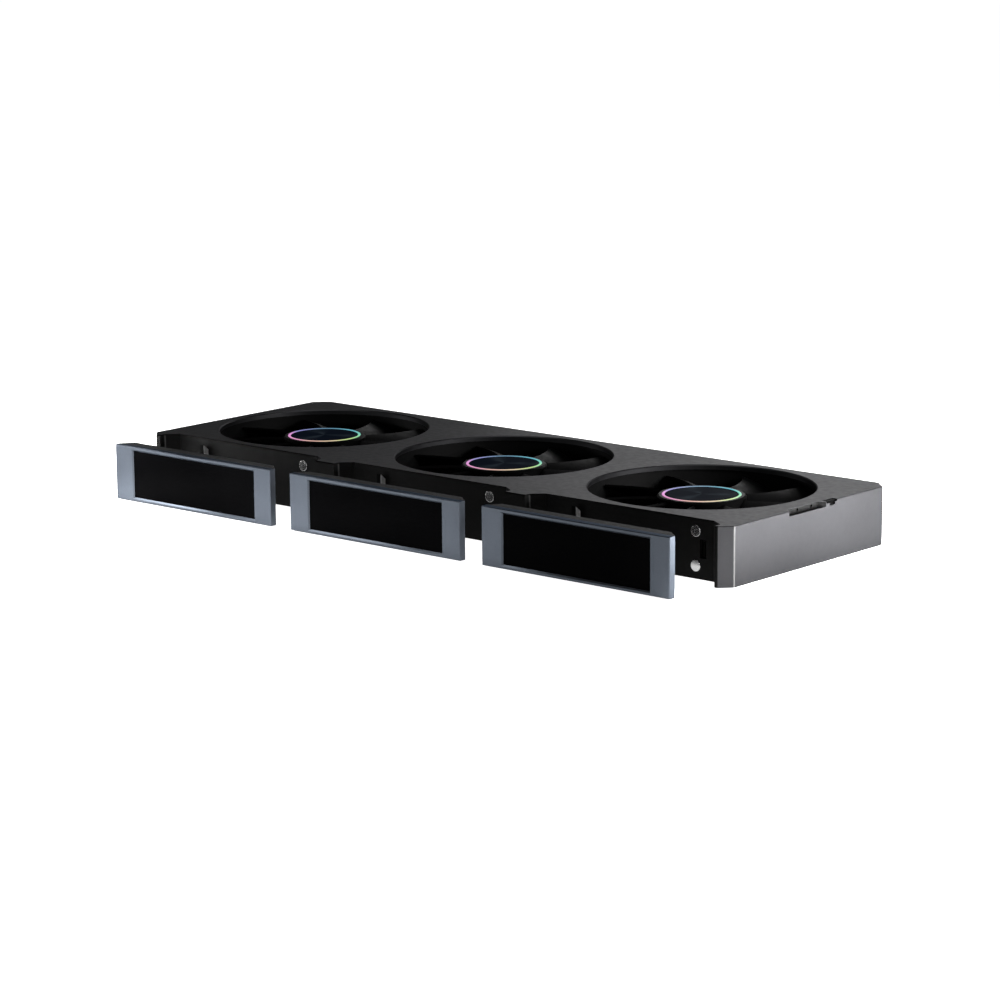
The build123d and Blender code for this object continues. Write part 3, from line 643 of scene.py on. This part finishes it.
def make_floor():
    bm = bmesh.new()
    bmesh.ops.create_grid(bm, x_segments=8, y_segments=8, size=FLOOR_SIZE)
    data = bpy.data.meshes.new("floor")
    bm.to_mesh(data)
    bm.free()
    floor = bpy.data.objects.new("floor", data)
    floor.location.z = FLOOR_Z
    bpy.context.scene.collection.objects.link(floor)
    m = Material("floor", roughness=0.9, specular=0.0)
    m.colour(m.noise(900.0, 2.0), grey(0.80), grey(0.82))
    m.value("Emission Color", (1, 1, 1, 1))
    place = m.nodes.new("ShaderNodeSeparateXYZ")
    m.link(m.coords, place.inputs[0])
    across, along = (
        m.math("LESS_THAN", m.math("ABSOLUTE", m.math("SUBTRACT", place.outputs[axis], middle)), half)
        for axis, (middle, half) in (("X", COVERED_X), ("Y", COVERED_Y)))
    covered = m.math("MULTIPLY", across, along)
    m.link(m.range(covered, FLOOR_GLOW, 0.0), m.shader.inputs["Emission Strength"])
    geometry = m.nodes.new("ShaderNodeNewGeometry")
    clear = m.nodes.new("ShaderNodeBsdfTransparent")
    mix = m.nodes.new("ShaderNodeMixShader")
    m.link(geometry.outputs["Backfacing"], mix.inputs["Fac"])
    m.link(m.shader.outputs[0], mix.inputs[1])
    m.link(clear.outputs[0], mix.inputs[2])
    m.link(mix.outputs[0], m.nodes["Material Output"].inputs["Surface"])
    data.materials.append(m.block)
    return floor


def softbox(name, at, aim, size, power):
    light = bpy.data.lights.new(name, "AREA")
    light.size = size
    light.energy = power
    lamp = bpy.data.objects.new(name, light)
    lamp.location = at
    lamp.rotation_euler = (Vector(aim) - Vector(at)).to_track_quat("-Z", "Y").to_euler()
    lamp.visible_camera = False
    bpy.context.scene.collection.objects.link(lamp)
    return lamp


def make_lights():
    for row in SOFTBOXES:
        softbox(*row)
    world = bpy.data.worlds.new("studio")
    world.use_nodes = True
    bpy.context.scene.world = world
    nodes, links = world.node_tree.nodes, world.node_tree.links
    nodes.clear()
    out = nodes.new("ShaderNodeOutputWorld")
    mix = nodes.new("ShaderNodeMixShader")
    path = nodes.new("ShaderNodeLightPath")
    shade, backdrop = nodes.new("ShaderNodeBackground"), nodes.new("ShaderNodeBackground")
    shade.inputs["Color"].default_value = (WORLD, WORLD, WORLD, 1)
    backdrop.inputs["Color"].default_value = (1, 1, 1, 1)
    links.new(path.outputs["Is Camera Ray"], mix.inputs["Fac"])
    links.new(shade.outputs[0], mix.inputs[1])
    links.new(backdrop.outputs[0], mix.inputs[2])
    links.new(mix.outputs[0], out.inputs["Surface"])


def make_camera():
    az, el, roll = radians(AZIMUTH), radians(ELEVATION), radians(ROLL)
    back = Vector((sin(az) * cos(el), -cos(az) * cos(el), sin(el)))
    right = (-back).cross(Vector((0, 0, 1))).normalized()
    up = right.cross(-back)
    turned_right = cos(roll) * right + sin(roll) * up
    turned_up = -sin(roll) * right + cos(roll) * up
    data = bpy.data.cameras.new("camera")
    data.sensor_width = 36.0
    data.lens = LENS
    data.clip_start, data.clip_end = 0.01, 100.0
    camera = bpy.data.objects.new("camera", data)
    axes = Matrix((turned_right, turned_up, back)).transposed().to_4x4()
    camera.matrix_world = Matrix.Translation(CAMERA_AT) @ axes
    bpy.context.scene.collection.objects.link(camera)
    bpy.context.scene.camera = camera


make_floor()
make_lights()
make_camera()
bpy.context.scene.view_settings.view_transform = "Standard"
